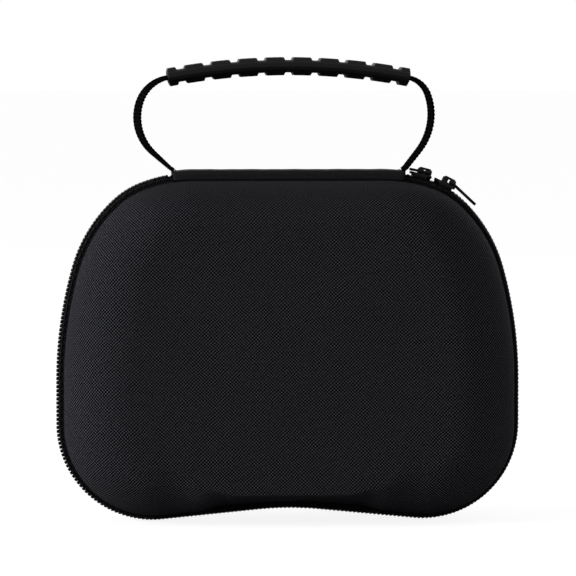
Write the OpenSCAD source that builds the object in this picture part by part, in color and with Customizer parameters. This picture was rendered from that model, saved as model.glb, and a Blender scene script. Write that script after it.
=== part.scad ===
// Hard-shell carrying case for a game controller, closed and standing on its lower lobes.
// X runs to the right, Y into the case from the front, Z up. The two shells meet at Y = 0.

/* [Case outline] */
// Width over the widest part of the rim
case_w = 180; // [160:1:210]
// Height of the rim, from the lobes to the top
case_h = 135; // [125:1:155]
// Radius of the lower lobe on each side
lobe_r = 37.5; // [30:0.5:42]
// Slope of the underside from a lobe towards the middle, in degrees
under_slope = 5.5; // [3:0.5:8]
// Radius of the arch between the lobes
arch_r = 120; // [80:5:180]
// Radii of the side and shoulder arcs, from the side up to the top
shoulder_r = [159, 57, 33, 58];
// Angles of the rim's normal where those arcs meet, above the horizontal
shoulder_a = [16, 47, 69];

/* [Moulded shells] */
// Depth of each shell from the parting plane
shell_depth = 36; // [30:0.5:42]
// Thickness of the moulded laminate of foam, cloth and lining
shell_t = 3.6; // [2.5:0.1:4.5]
// Depth at which the straight wall ends and the rounding starts
wall_depth = 12; // [11:0.5:16]
// Width of the rounding at the sides, seen from the front
round_side = 26; // [20:1:28]
// Width of the rounding at the top
round_top = 17; // [12:1:22]
// Width of the rounding at the lobes
round_lobe = 21; // [14:1:26]
// Width of the rounding over the finger recess
round_recess = 2.4; // [1.6:0.2:6]
// Height of the face's straight lower edge, over the finger recess
recess_top = 9.8; // [9.4:0.2:14]
// Half width of the recess where it is at its full height
recess_half = 29; // [20:1:36]
// Length over which the recess fades out at each end
recess_fade = 12; // [6:1:16]

/* [Rim and zip] */
// How far the lip stands out from the shell wall
lip_w = 3.1; // [2:0.1:4]
// Distance from the parting plane to the near face of the lip
lip_y = 4.5; // [4.2:0.1:5]
// Thickness of the lip
lip_t = 2.8; // [2:0.1:3.5]
// How far the lips' outer edges lie below the tops of the zip teeth
lip_drop = 1; // [0.3:0.1:1.2]
// Thickness of the zip tape
tape_t = 0.6; // [0.4:0.1:0.8]
// Depth of the tape's outer face below the tops of the teeth
tape_drop = 1.2; // [0.7:0.1:1.2]
// Height of a row of zip teeth
tooth_h = 1.8; // [1.4:0.1:2.2]
// Width of one row of zip teeth
tooth_w = 1.4; // [1:0.1:1.6]
// Distance between teeth
tooth_pitch = 3.2; // [3:0.1:5]
// Gap between the two rows, which the sliders' posts run in
row_gap = 1.2; // [1:0.1:1.4]
// Width of the binding tape sewn over the inner edge
binding_w = 7.5; // [6:0.5:7.5]
// Thickness of the binding tape
binding_t = 0.7; // [0.5:0.1:1]

/* [Hinge strip] */
// Length of the cloth hinge strip along the top
strip_len = 90; // [70:1:100]
// Thickness of the folded cloth
strip_t = 0.9; // [0.6:0.1:1.2]
// Radius of the strip's long edges
strip_edge_r = 1.8; // [1:0.1:2]

/* [Handle] */
// Width of the webbing
web_w = 15; // [12:0.5:16]
// Thickness of the webbing
web_t = 1.6; // [1:0.1:1.8]
// Length of the moulded grip along its arc
grip_len = 94; // [70:1:100]
// Radius of the arc that the grip follows
grip_r = 250; // [180:5:400]
// Height of the grip's middle line above the rim's top
grip_rise = 41; // [36:0.5:50]
// Width of the grip
grip_w = 18; // [17:0.5:22]
// Thickness of the grip between its ridges
grip_t = 4.8; // [3.8:0.1:5.2]
// How far each ridge stands out
ridge_h = 1.1; // [0.8:0.1:1.6]
// Length of one ridge
ridge_len = 7; // [5:0.5:8]
// Distance from one ridge to the next
ridge_pitch = 10.4; // [9:0.1:12]
// Angle at which each leg leaves the case: left, right
leg_leave = [42, 52];
// Radius of the bend where each leg turns into the grip: left, right
leg_bend_r = [14, 10];

/* [Sliders] */
// Distance of the first slider's middle from the strip's end, along the rim
slider_lead = 6.5; // [6:0.1:8]
// Distance from one slider's middle to the other's, along the rim
slider_apart = 9.7; // [9.4:0.1:12]
// Length of a slider
slider_len = 8.6; // [7:0.2:9]
// Width of a slider
slider_w = 7.2; // [6.8:0.1:7.4]
// Thickness of a slider's plates
plate_t = 1; // [0.8:0.1:1.2]
// Height of the bridge above the top plate
bridge_h = 2.6; // [2.4:0.1:3]
// Length of each pull from its pin: first, second
pull_len = [7.3, 12.5];
// Width of a pull
pull_w = 4; // [3.4:0.1:4.4]
// Thickness of a pull
pull_t = 1; // [0.8:0.1:1.1]
// Angle at which each pull lies to its slider: folded back, hanging forward
pull_lie = [183.8, -16];
// How far the second slider can run along its arc of the rim, in degrees
slider_swing = 10; // [4:1:12]

/* [Inside] */
// Height of the net pocket's mouth above the lobes
pocket_top = 72; // [50:1:90]
// Depth of the net behind the parting plane
pocket_y = 13; // [12.5:0.5:16]
// Width of the elastic retaining strap
keeper_w = 20; // [15:1:30]
// Height of the retaining strap's middle above the lobes
keeper_z = 72; // [55:1:85]
// Distance of the strap's sewn ends from where the back starts to curve
keeper_margin = 3; // [2:0.5:15]

/* [Clearances] */
// Gap between pieces that are sewn or pressed together
seat_gap = 0.1; // [0.05:0.05:0.2]
// Gap between pieces that move past each other
run_gap = 0.3; // [0.2:0.05:0.4]
// Radial gap of a pull's pin in its bridge
pin_gap = 0.1; // [0.05:0.01:0.1]

/* [Hidden] */
$fn = 48;

cloth_black = "#1b1b1d";
tape_black = "#141416";
metal_black = "#2a2a2e";
rubber_black = "#202022";

// Rim outline, as a chain of arcs that touch. Every arc is given by its centre, its radius and
// the angle of its outward normal at each end. It runs from the middle of the top to the right,
// down the side and to the middle of the underside; the left half is its mirror image.
half_w = case_w / 2;
arc_r = [shoulder_r[3], shoulder_r[2], shoulder_r[1], shoulder_r[0]];
arc_from = [90, shoulder_a[2], shoulder_a[1], shoulder_a[0]];
arc_to = [shoulder_a[2], shoulder_a[1], shoulder_a[0], 0];
function arc_dx(i) = arc_r[i] * (cos(arc_to[i]) - cos(arc_from[i]));
function arc_dz(i) = arc_r[i] * (sin(arc_to[i]) - sin(arc_from[i]));
function sum(v, n, i = 0) = i >= n ? 0 : v[i] + sum(v, n, i + 1);
shoulder_dx = [for (i = [0:3]) arc_dx(i)];
shoulder_dz = [for (i = [0:3]) arc_dz(i)];
top_half = half_w - sum(shoulder_dx, 4);
side_top = case_h + sum(shoulder_dz, 4);
function arc_centre(i) = [
    top_half + sum(shoulder_dx, i) - arc_r[i] * cos(arc_from[i]),
    case_h + sum(shoulder_dz, i) - arc_r[i] * sin(arc_from[i])
];
lobe_c = [half_w - lobe_r, lobe_r];
under_run = lobe_c.x - (lobe_r + arch_r) * sin(under_slope);
arch_end_z = lobe_r * (1 - cos(under_slope)) + under_run * tan(under_slope);
arch_c = [0, arch_end_z - arch_r * cos(under_slope)];
rad = PI / 180;
// How far the shapes of one solid reach into each other
merge = 0.2;
// Lengths of the outline's stretches, and the distance at which each one starts
stretch = concat(
    [top_half],
    [for (i = [0:3]) arc_r[i] * (arc_from[i] - arc_to[i]) * rad],
    [side_top - lobe_r, lobe_r * 90 * rad, lobe_r * under_slope * rad,
     under_run / cos(under_slope), arch_r * under_slope * rad]
);
start = [for (i = [0:10]) sum(stretch, i)];
rim_half = start[10];
rim_len = 2 * rim_half;

// Angle of the outward normal at distance s along the right half
function half_angle(s) =
    s <= start[1] ? 90 :
    s <= start[5] ? let (i = s <= start[2] ? 0 : s <= start[3] ? 1 : s <= start[4] ? 2 : 3)
        arc_from[i] - (s - start[i + 1]) / arc_r[i] / rad :
    s <= start[6] ? 0 :
    s <= start[8] ? -(s - start[6]) / lobe_r / rad :
    s <= start[9] ? -90 - under_slope :
    -90 - under_slope + (s - start[9]) / arch_r / rad;
// Point at distance s along the right half, moved outward by d
function half_point(s, d) = let (a = half_angle(s), n = [cos(a), sin(a)])
    s <= start[1] ? [s, case_h + d] :
    s <= start[5] ? let (i = s <= start[2] ? 0 : s <= start[3] ? 1 : s <= start[4] ? 2 : 3)
        arc_centre(i) + (arc_r[i] + d) * n :
    s <= start[6] ? [half_w + d, side_top - (s - start[5])] :
    s <= start[8] ? lobe_c + (lobe_r + d) * n :
    s <= start[9] ? lobe_c + (lobe_r + d) * n
        + (s - start[8]) * [-cos(under_slope), sin(under_slope)] :
    arch_c - (arch_r - d) * n;
function rim_angle(s) = s > rim_half ? 180 - half_angle(rim_len - s) : half_angle(s);
function rim_point(s, d = 0) = s < 0 ? rim_point(s + rim_len, d) :
    s > rim_half ? let (p = half_point(rim_len - s, d)) [-p.x, p.y] : half_point(s, d);

// The columns of a shell: the number of steps on each stretch of one half
steps = [2, 3, 3, 4, 4, 1, 9, 1, 12, 2];
half_columns = concat([0], [for (i = [0:9], j = [1:steps[i]])
    start[i] + stretch[i] * j / steps[i]]);
strip_half = strip_len / 2;
// Distance along the rim of the strip's end, on the first shoulder arc
strip_end = start[1] + arc_r[0] * asin((strip_half - top_half) / arc_r[0]) * rad;
function in_order(v) = len(v) <= 1 ? v :
    let (p = v[floor(len(v) / 2)])
    concat(in_order([for (q = v) if (q < p) q]), [p], in_order([for (q = v) if (q > p) q]));
columns = in_order(concat(half_columns, [strip_end - seat_gap, strip_end + run_gap]));
all_columns = concat(columns, [for (i = [len(columns) - 2:-1:1]) rim_len - columns[i]]);
function outline(d) = [for (s = all_columns) rim_point(s, d)];
function rim_run(from, to, pitch) = let (n = ceil((to - from) / pitch))
    [for (i = [0:n]) from + (to - from) * i / n];

// Moulded shell: how wide the rounding is, and how far the recess rises, at each column
function smooth(t) = let (c = max(0, min(1, t))) c * c * (3 - 2 * c);
function recess_at(s) = let (p = rim_point(s))
    p.y > lobe_r / 2 ? 0 : smooth((recess_half + recess_fade - abs(p.x)) / recess_fade);
function round_at(s) = let (
    v = sin(rim_angle(s)),
    plain = round_side + ((v > 0 ? round_top : round_lobe) - round_side) * v * v
) plain + (round_recess - plain) * recess_at(s);
// How far the shell draws in over the recess, so that the face's lower edge stays level there
function rise_at(s) = let (c = recess_at(s))
    c == 0 ? 0 : c * max(0, recess_top - rim_point(s).y - lip_w - round_recess);
// Point of the outer skin (skin = 0) or of the inner one (skin = shell_t), where a is 0 at the
// end of the straight wall and 90 at the flat face
function skin_point(s, a, skin) = let (
    inset = lip_w + skin + (round_at(s) - skin / 2) * (1 - cos(a))
        + rise_at(s) * (0.25 + 0.75 * sin(a))
) [inset, wall_depth + (shell_depth - skin - wall_depth) * sin(a)];
outer_steps = [90, 80, 70, 58, 45, 30, 15, 0];
inner_steps = [0, 20, 42, 60, 76, 90];
hinge_y = lip_y + lip_t + strip_t + 2 * seat_gap + run_gap;
// The front shell has no lip under the hinge strip: its wall ends in front of the strip. The
// back shell's lip stands a little higher there, to carry the strip's cloth.
function under_strip(s) = s < strip_end || s > rim_len - strip_end;
function section(s, front) = let (
    cut = front && under_strip(s),
    near = cut ? hinge_y + run_gap : lip_y,
    far = cut ? near + 2 * run_gap : lip_y + lip_t,
    edge = cut ? lip_w - seat_gap : under_strip(s) ? 0 : lip_drop,
    foot = lip_w + rise_at(s) * 0.25
) concat(
    [for (a = outer_steps) skin_point(s, a, 0)],
    [[foot, far], [edge, far], [edge, near], [foot + shell_t, near]],
    [for (a = inner_steps) skin_point(s, a, shell_t)]
);
module shell(front) {
    n = len(all_columns);
    rings = [for (s = all_columns) section(s, front)];
    m = len(rings[0]);
    side = front ? -1 : 1;
    skin = [for (k = [0:m - 1], i = [0:n - 1])
        let (q = rings[i][k], p = rim_point(all_columns[i], -q[0])) [p.x, side * q[1], p.y]];
    // The two flat faces are fans about a middle point
    middle = (arch_end_z + case_h) / 2;
    pts = concat(skin,
        [[0, side * rings[0][0][1], middle], [0, side * rings[0][m - 1][1], middle]]);
    wall = [for (k = [0:m - 2], i = [0:n - 1]) let (j = (i + 1) % n)
        each [[k * n + i, k * n + j, (k + 1) * n + j],
            [k * n + i, (k + 1) * n + j, (k + 1) * n + i]]];
    caps = [for (i = [0:n - 1]) let (j = (i + 1) % n)
        each [[j, i, m * n], [(m - 1) * n + i, (m - 1) * n + j, m * n + 1]]];
    faces = concat(wall, caps);
    polyhedron(pts, front ? faces : [for (f = faces) [for (i = [len(f) - 1:-1:0]) f[i]]]);
}

// Slab of an outline between two depths
module slab(points, y0, y1) {
    translate([0, y1, 0]) rotate([90, 0, 0]) linear_extrude(y1 - y0) polygon(points);
}
// Band between two insets, from distance s0 to s1 along the rim
module band(out, in, y0, y1, s0, s1, pitch = 4) {
    run = rim_run(s0, s1, pitch);
    slab(concat([for (s = run) rim_point(s, -out)],
        [for (i = [len(run) - 1:-1:0]) rim_point(run[i], -in)]), y0, y1);
}
// Whole ring between two insets
module ring(out, in, y0, y1) {
    difference() {
        slab(outline(-out), y0, y1);
        slab(outline(-in), y0 - 1, y1 + 1);
    }
}

module back_shell() { color(cloth_black) shell(false); }
module front_shell() { color(cloth_black) shell(true); }

inner_edge = lip_w + shell_t + seat_gap;
module back_rim_binding() {
    color(tape_black) difference() {
        ring(inner_edge, inner_edge + binding_t, lip_y, lip_y + binding_w);
        recess_room();
    }
}
module front_rim_binding() {
    color(tape_black) difference() {
        ring(inner_edge, inner_edge + binding_t, -lip_y - binding_w, -lip_y);
        recess_room();
        translate([-strip_half, -hinge_y - run_gap, case_h / 2]) cube([strip_len, hinge_y, case_h]);
    }
}
// Room in the bindings for the inner skin where it rises over the recess
module recess_room() {
    reach = recess_half + recess_fade;
    translate([-reach, -case_h, -1]) cube([2 * reach, 2 * case_h, recess_top + shell_t + 1]);
}

// Zip: a tape on each side with a row of teeth, from one end of the strip round to the other
zip_start = strip_end + run_gap;
slider_at = [strip_end + slider_lead, strip_end + slider_lead + slider_apart];
slider_travel = arc_r[1] * slider_swing * rad;
end_stop = slider_at[1] + slider_travel + slider_len / 2 + 1;
row_y = [row_gap / 2, row_gap / 2 + tooth_w];
tape_in = tape_drop + tape_t;
// A tape runs flat from the teeth to the lip, and turns down along the lip's face. It is one
// band with the room beneath the flat part cut away.
module tape(side, s0, s1) {
    far = lip_y - seat_gap;
    near = far - tape_t;
    under = inner_edge + 1;
    difference() {
        band(tape_drop, inner_edge - seat_gap, min(side * row_y[1], side * far),
            max(side * row_y[1], side * far), s0, s1);
        band(tape_in, under, min(side * (row_y[0] - 1), side * near),
            max(side * (row_y[0] - 1), side * near), s0 - 2, s1 + 2);
    }
}
module back_zip_tape() { color(tape_black) tape(1, zip_start, rim_len - zip_start); }
module front_zip_tape() { color(tape_black) tape(-1, end_stop + run_gap, rim_len - zip_start); }
// The short end of the front tape that stays on the base is flat: it has no lip to lie on
module zip_tape_end() {
    color(tape_black)
        band(tape_drop, tape_in, -lip_y + 2 * run_gap + seat_gap, -row_y[1], zip_start, end_stop);
}
// Depth of the gap between one tooth and the next
tooth_gap = 0.5;
module teeth(side, s0, s1) {
    n = floor((s1 - s0) / tooth_pitch);
    quarter = tooth_pitch / 4;
    // Each tooth as quarters of the pitch and drop: up its flank, over the top and down again
    crown = [for (i = [0:n - 1], c = [[0, tooth_gap], [1, 0], [2.4, 0], [3.4, tooth_gap]])
        rim_point(s0 + (i * 4 + c[0]) * quarter, -c[1])];
    root = [for (i = [n:-1:0]) rim_point(s0 + i * tooth_pitch, -tooth_h)];
    y = side * row_y[0];
    z = side * (row_y[1] - seat_gap);
    slab(concat(crown, root), min(y, z), max(y, z));
}
module back_zip_teeth() { color(metal_black) teeth(1, zip_start, rim_len - zip_start); }
module front_zip_teeth() { color(metal_black) teeth(-1, end_stop + run_gap, rim_len - zip_start); }
module zip_teeth_end() { color(metal_black) teeth(-1, zip_start, end_stop); }

// Hinge strip: folded cloth over both lips, swept along the top of the rim
strip_y = lip_y + lip_t + seat_gap + strip_t;
strip_out = strip_t + seat_gap;
strip_step = 7.5;
function strip_section(grow, edge) = let (
    y = strip_y + grow,
    top = strip_out + grow
) concat(
    [[-y, -lip_w + seat_gap]],
    [for (i = [0:4]) [-y + edge * (1 - cos(i * 22.5)), top - edge * (1 - sin(i * 22.5))]],
    [for (i = [4:-1:0]) [y - edge * (1 - cos(i * 22.5)), top - edge * (1 - sin(i * 22.5))]],
    [[y, -lip_w + seat_gap]]
);
module hinge_strip() {
    outer = strip_section(0, strip_edge_r);
    inner = strip_section(-strip_t, seat_gap);
    loop = concat(outer, [for (i = [len(inner) - 1:-1:0]) inner[i]]);
    path = rim_run(-strip_end, strip_end, strip_step);
    n = len(loop);
    pts = [for (s = path, q = loop) let (p = rim_point(s, q[1])) [p.x, q[0], p.y]];
    wall = [for (k = [0:len(path) - 2], i = [0:n - 1]) let (j = (i + 1) % n)
        each [[k * n + i, (k + 1) * n + j, k * n + j],
            [k * n + i, (k + 1) * n + i, (k + 1) * n + j]]];
    last = (len(path) - 1) * n;
    caps = [for (i = [0:n / 2 - 2]) let (a = i, b = i + 1, c = n - 2 - i, d = n - 1 - i)
        each [[a, b, c], [a, c, d], [last + c, last + b, last + a], [last + d, last + c, last + a]]];
    color(cloth_black) polyhedron(pts, concat(wall, caps));
}

// Handle: webbing that leaves the strip's ends, bends over and runs through the grip
grip_z = case_h + grip_rise;
grip_half_a = grip_len / 2 / grip_r / rad;
grip_c = grip_z - grip_r;
grip_end = [grip_r * sin(grip_half_a), grip_c + grip_r * cos(grip_half_a)];
foot = rim_point(strip_end, strip_out + web_t / 2 + seat_gap);
top_heading = 180 - grip_half_a;
mid_heading = 110;
function turn(a, b) = [sin(b) - sin(a), cos(a) - cos(b)];
// Length of the straight and radius of the long bend that bring a leg from its foot to the grip
function leg_fit(i) = let (
    d = [cos(leg_leave[i]), sin(leg_leave[i])],
    t = turn(leg_leave[i], mid_heading),
    want = grip_end - foot - leg_bend_r[i] * turn(mid_heading, top_heading),
    det = d.x * t.y - d.y * t.x
) [(want.x * t.y - want.y * t.x) / det, (d.x * want.y - d.y * want.x) / det];
// Middle line of a leg and the headings along it
function leg_line(i) = let (
    fit = leg_fit(i),
    a0 = leg_leave[i],
    bend = foot + fit[0] * [cos(a0), sin(a0)],
    top = bend + fit[1] * turn(a0, mid_heading)
) concat(
    [[foot, a0]],
    [for (k = [0:8]) let (a = a0 + (mid_heading - a0) * k / 8) [bend + fit[1] * turn(a0, a), a]],
    [for (k = [1:6]) let (a = mid_heading + (top_heading - mid_heading) * k / 6)
        [top + leg_bend_r[i] * turn(mid_heading, a), a]]
);
function across(p, a, d) = p + d * [sin(a), -cos(a)];
function leg_edge(i, d) = [for (q = leg_line(i)) across(q[0], q[1], d)];
function arc_edge(d) = [for (k = [1:11]) let (a = grip_half_a * (1 - k / 6))
    [(grip_r + d) * sin(a), grip_c + (grip_r + d) * cos(a)]];
function mirror_x(v) = [for (k = [len(v) - 1:-1:0]) [-v[k].x, v[k].y]];
function web_edge(d) = concat(leg_edge(1, d), arc_edge(d), mirror_x(leg_edge(0, d)));
module webbing() {
    under = web_edge(-web_t / 2);
    slab(concat(web_edge(web_t / 2), [for (k = [len(under) - 1:-1:0]) under[k]]),
        -web_w / 2, web_w / 2);
}
// The legs fold about a line above the strip. Below it each leg ends in a half disc, and the
// sewn foot is cut to the same circle, so that the two turn clear of each other.
fold_r = web_w / 2;
fold_z = foot.y + fold_r + web_t;
module fold_disc(r) {
    translate([-case_w / 2, 0, fold_z]) rotate([0, 90, 0]) cylinder(h = case_w, r = r);
}
module below_fold() {
    translate([-case_w / 2, -web_w, 0]) cube([case_w, 2 * web_w, fold_z]);
}
module handle_webbing() {
    color(tape_black) difference() {
        webbing();
        difference() {
            below_fold();
            fold_disc(fold_r);
        }
    }
}
module webbing_foot(side) {
    color(tape_black) difference() {
        webbing();
        translate([-side * case_w / 2 - case_w / 2, -case_w / 2, 0])
            cube([case_w, case_w, 2 * case_h]);
        translate([-case_w / 2, -web_w, fold_z - seat_gap]) cube([case_w, 2 * web_w, case_h]);
        fold_disc(fold_r + run_gap);
        slab(outline(strip_out + seat_gap), -web_w, web_w);
    }
}
module webbing_foot_left() { webbing_foot(-1); }
module webbing_foot_right() { webbing_foot(1); }

// A rounded bar swept along the grip's arc between two distances from its middle
module grip_bar(thick, wide, from, to) {
    a0 = from / grip_r / rad;
    a1 = to / grip_r / rad;
    edge = min(thick, wide) / 2 - 0.2;
    translate([0, 0, grip_c]) rotate([90, 0, 0]) rotate([0, 0, 90 - a1])
        rotate_extrude(angle = a1 - a0, $fn = 360) translate([grip_r, 0]) {
            square([thick, wide - 2 * edge], center = true);
            square([thick - 2 * edge, wide], center = true);
            for (i = [-1, 1], j = [-1, 1])
                translate([i * (thick / 2 - edge), j * (wide / 2 - edge)]) circle(edge, $fn = 32);
        }
}
module handle_grip() {
    n = floor((grip_len - ridge_len) / ridge_pitch);
    rest = grip_len / 2 - (n - 1) / 2 * ridge_pitch - ridge_len / 2 - (ridge_pitch - ridge_len);
    color(rubber_black) difference() {
        union() {
            grip_bar(grip_t, grip_w, -grip_len / 2, grip_len / 2);
            for (i = [0:n - 1]) let (m = (i - (n - 1) / 2) * ridge_pitch)
                grip_ridge(m - ridge_len / 2, m + ridge_len / 2);
            grip_ridge(grip_len / 2 - rest, grip_len / 2 - ridge_slope / 2);
            grip_ridge(ridge_slope / 2 - grip_len / 2, rest - grip_len / 2);
        }
        grip_slot();
    }
}
// A ridge above and below the grip, with sloping flanks
ridge_slope = 0.7 * ridge_h;
module grip_ridge(from, to) {
    top = grip_t / 2 + ridge_h;
    root = grip_t / 2 - merge;
    for (side = [-1, 1])
        translate([0, (grip_w - grip_t) / 2, grip_c]) rotate([90, 0, 0])
            linear_extrude(grip_w - grip_t)
                polygon([
                    on_arc(from - ridge_slope / 2, side * root),
                    on_arc(from + ridge_slope / 2, side * top),
                    on_arc((from + to) / 2, side * top),
                    on_arc(to - ridge_slope / 2, side * top),
                    on_arc(to + ridge_slope / 2, side * root),
                    on_arc((from + to) / 2, side * root)
                ]);
}
// Point of the grip's arc at distance s from its middle, moved outward by d
function on_arc(s, d) = let (a = s / grip_r / rad)
    [(grip_r + d) * sin(a), (grip_r + d) * cos(a)];
module grip_slot() {
    a = grip_half_a + 1;
    translate([0, 0, grip_c]) rotate([90, 0, 0]) rotate([0, 0, 90 - a])
        rotate_extrude(angle = 2 * a, $fn = 360) translate([grip_r, 0])
            square([web_t + 2 * seat_gap, web_w + 2 * seat_gap], center = true);
}

// Sliders: a top and a bottom plate joined by a post at the nose, and a bridge for the pull
plate_top = run_gap + plate_t;
plate_low = -tooth_h - run_gap - 0.2;
nose_taper = 2;
tail_taper = 1;
post_len = 2.4;
flange_t = 0.9;
flange_lift = 0.25;
bridge_w = 1.6;
bridge_wall = 0.9;
bridge_back = 1.6;
window_up = 0.5;
window_len = 2.4;
pin_r = 0.5;
pin_up = plate_top + window_up + pin_gap + pin_r;
pin_along = slider_len / 2 - run_gap - bridge_wall - pin_gap - pin_r;
module on_rim(s) {
    p = rim_point(s);
    translate([p.x, 0, p.y]) rotate([0, 90 - rim_angle(s), 0]) children();
}
module plate(z0, z1) {
    l = slider_len / 2;
    w = slider_w / 2;
    half = [[-l, w - tail_taper], [-l + tail_taper, w], [l - nose_taper, w], [l, w - nose_taper]];
    translate([0, 0, z0]) linear_extrude(z1 - z0)
        polygon(concat(half, [for (i = [3:-1:0]) [half[i].x, -half[i].y]]));
}
// The nose points along +X; flip turns it about
module slider_body(s, flip) {
    color(metal_black) on_rim(s) {
        rotate([0, 0, flip ? 180 : 0]) {
            plate(run_gap, plate_top);
            plate(plate_low - plate_t, plate_low);
            translate([slider_len / 2 - post_len - merge, -row_gap / 2 + seat_gap, plate_low - merge])
                cube([post_len, row_gap - 2 * seat_gap, run_gap - plate_low + 2 * merge]);
            slider_flange(1);
            slider_flange(-1);
        }
        bridge();
    }
}
// Edge of the top plate that is turned down beside the teeth, over the tape
module slider_flange(side) {
    low = flange_lift - tape_drop;
    translate([-slider_len / 2 + tail_taper, side > 0 ? slider_w / 2 - flange_t : -slider_w / 2, low])
        cube([slider_len - tail_taper - nose_taper, flange_t, plate_top - merge - low]);
}
// The bridge stands over the end that the pull hangs from, and its window holds the pin
module bridge() {
    from = -bridge_back;
    to = slider_len / 2 - run_gap;
    top = plate_top + bridge_h;
    shoulder = plate_top + bridge_h * 0.7;
    translate([0, bridge_w / 2, 0]) rotate([90, 0, 0]) linear_extrude(bridge_w)
        difference() {
            polygon([[from, plate_top - merge], [from, shoulder], [from + bridge_wall, top],
                [to - bridge_wall, top], [to, shoulder], [to, plate_top - merge]]);
            translate([to - bridge_wall - window_len, plate_top + window_up])
                square([window_len, 2 * (pin_r + pin_gap)]);
        }
}
module slider_a_body() { slider_body(slider_at[0], false); }
module slider_b_body() { slider_body(slider_at[1], true); }

// A pull hangs on its bridge by a pin, between two arms that join in a tab
arm_gap = 0.15;
tab_corner = 1.4;
module pull(s, lie, long) {
    p = rim_point(s);
    t = rim_angle(s) - 90;
    arm = (pull_w - bridge_w) / 2 - arm_gap;
    pin = p + pin_along * [cos(t), sin(t)] + pin_up * [-sin(t), cos(t)];
    // The tab begins behind the bridge, so that the arms can lie along either side of it
    tab = pin_along + bridge_back + run_gap;
    corner_x = long - tab_corner;
    corner_y = pull_w / 2 - tab_corner;
    color(metal_black) translate([pin.x, 0, pin.y]) rotate([0, -t - lie, 0]) {
        rotate([90, 0, 0]) cylinder(h = pull_w - 2 * merge, r = pin_r, center = true);
        for (side = [-1, 1]) translate([0, side * (pull_w - arm) / 2, 0]) {
            translate([0, -arm / 2, -pull_t / 2]) cube([tab + merge, arm, pull_t]);
            rotate([90, 0, 0]) cylinder(h = arm, r = pull_t / 2, center = true);
        }
        translate([tab, -pull_w / 2, -pull_t / 2]) cube([corner_x - tab, pull_w, pull_t]);
        translate([tab, -corner_y, -pull_t / 2]) cube([long - tab, 2 * corner_y, pull_t]);
        for (side = [-1, 1])
            translate([corner_x, side * corner_y, -pull_t / 2]) cylinder(h = pull_t, r = tab_corner);
    }
}
module slider_a_pull() { pull(slider_at[0], pull_lie[0], pull_len[0]); }
module slider_b_pull() { pull(slider_at[1], pull_lie[1], pull_len[1]); }

// Inside: a net pocket in the lid and an elastic strap across the base
net_t = 0.6;
pocket_low = recess_top + shell_t + 2;
module net_pocket() {
    color(metal_black) intersection() {
        slab(outline(-inner_edge - binding_t - 2 * seat_gap), -pocket_y - net_t, -pocket_y);
        translate([-case_w, -case_w, pocket_low])
            cube([2 * case_w, 2 * case_w, pocket_top - pocket_low]);
    }
}
pocket_hem = 10;
module pocket_binding() {
    color(tape_black) intersection() {
        slab(outline(-inner_edge - binding_t - 2 * seat_gap),
            -pocket_y - net_t - binding_t - seat_gap, -pocket_y - net_t - seat_gap);
        translate([-case_w, -case_w, pocket_top - pocket_hem])
            cube([2 * case_w, 2 * case_w, pocket_hem]);
    }
}
keeper_t = 1.2;
keeper_lift = 2;
// Length of the tack at each end of the strap, which is sewn down flat
keeper_tack = 12;
module retaining_strap() {
    floor_y = shell_depth - shell_t - seat_gap;
    h = half_w - lip_w - shell_t / 2 - round_side - keeper_margin;
    bow = [for (i = [-6:6])
        [i * (h - keeper_tack) / 6, floor_y - keeper_t - keeper_lift * (1 - pow(i / 6, 2))]];
    color(tape_black) translate([0, 0, keeper_z - keeper_w / 2]) linear_extrude(keeper_w)
        polygon(concat([[-h, floor_y], [-h, floor_y - keeper_t]], bow,
            [[h, floor_y - keeper_t], [h, floor_y]],
            [for (i = [6:-1:-6]) bow[i + 6] + [0, keeper_t]]));
}

back_shell();
front_shell();
back_rim_binding();
front_rim_binding();
back_zip_tape();
front_zip_tape();
zip_tape_end();
back_zip_teeth();
front_zip_teeth();
zip_teeth_end();
hinge_strip();
webbing_foot_left();
webbing_foot_right();
handle_webbing();
handle_grip();
slider_a_body();
slider_a_pull();
slider_b_body();
slider_b_pull();
net_pocket();
pocket_binding();
retaining_strap();
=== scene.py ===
import math

import bmesh
import bpy
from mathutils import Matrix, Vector

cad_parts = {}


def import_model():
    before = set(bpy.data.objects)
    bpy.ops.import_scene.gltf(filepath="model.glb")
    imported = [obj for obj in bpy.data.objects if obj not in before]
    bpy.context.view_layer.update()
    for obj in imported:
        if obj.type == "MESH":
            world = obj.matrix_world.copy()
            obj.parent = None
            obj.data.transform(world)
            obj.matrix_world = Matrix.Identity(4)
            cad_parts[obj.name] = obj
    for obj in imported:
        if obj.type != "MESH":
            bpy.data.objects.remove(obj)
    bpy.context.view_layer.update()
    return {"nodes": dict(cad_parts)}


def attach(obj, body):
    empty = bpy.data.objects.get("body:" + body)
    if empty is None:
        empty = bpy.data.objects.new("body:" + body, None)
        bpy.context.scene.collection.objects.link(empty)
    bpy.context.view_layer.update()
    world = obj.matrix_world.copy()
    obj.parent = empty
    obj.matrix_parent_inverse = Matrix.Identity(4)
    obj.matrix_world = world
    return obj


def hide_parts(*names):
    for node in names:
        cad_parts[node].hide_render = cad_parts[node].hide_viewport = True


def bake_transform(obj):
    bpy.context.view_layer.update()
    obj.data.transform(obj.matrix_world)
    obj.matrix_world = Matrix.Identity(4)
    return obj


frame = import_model()

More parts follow.
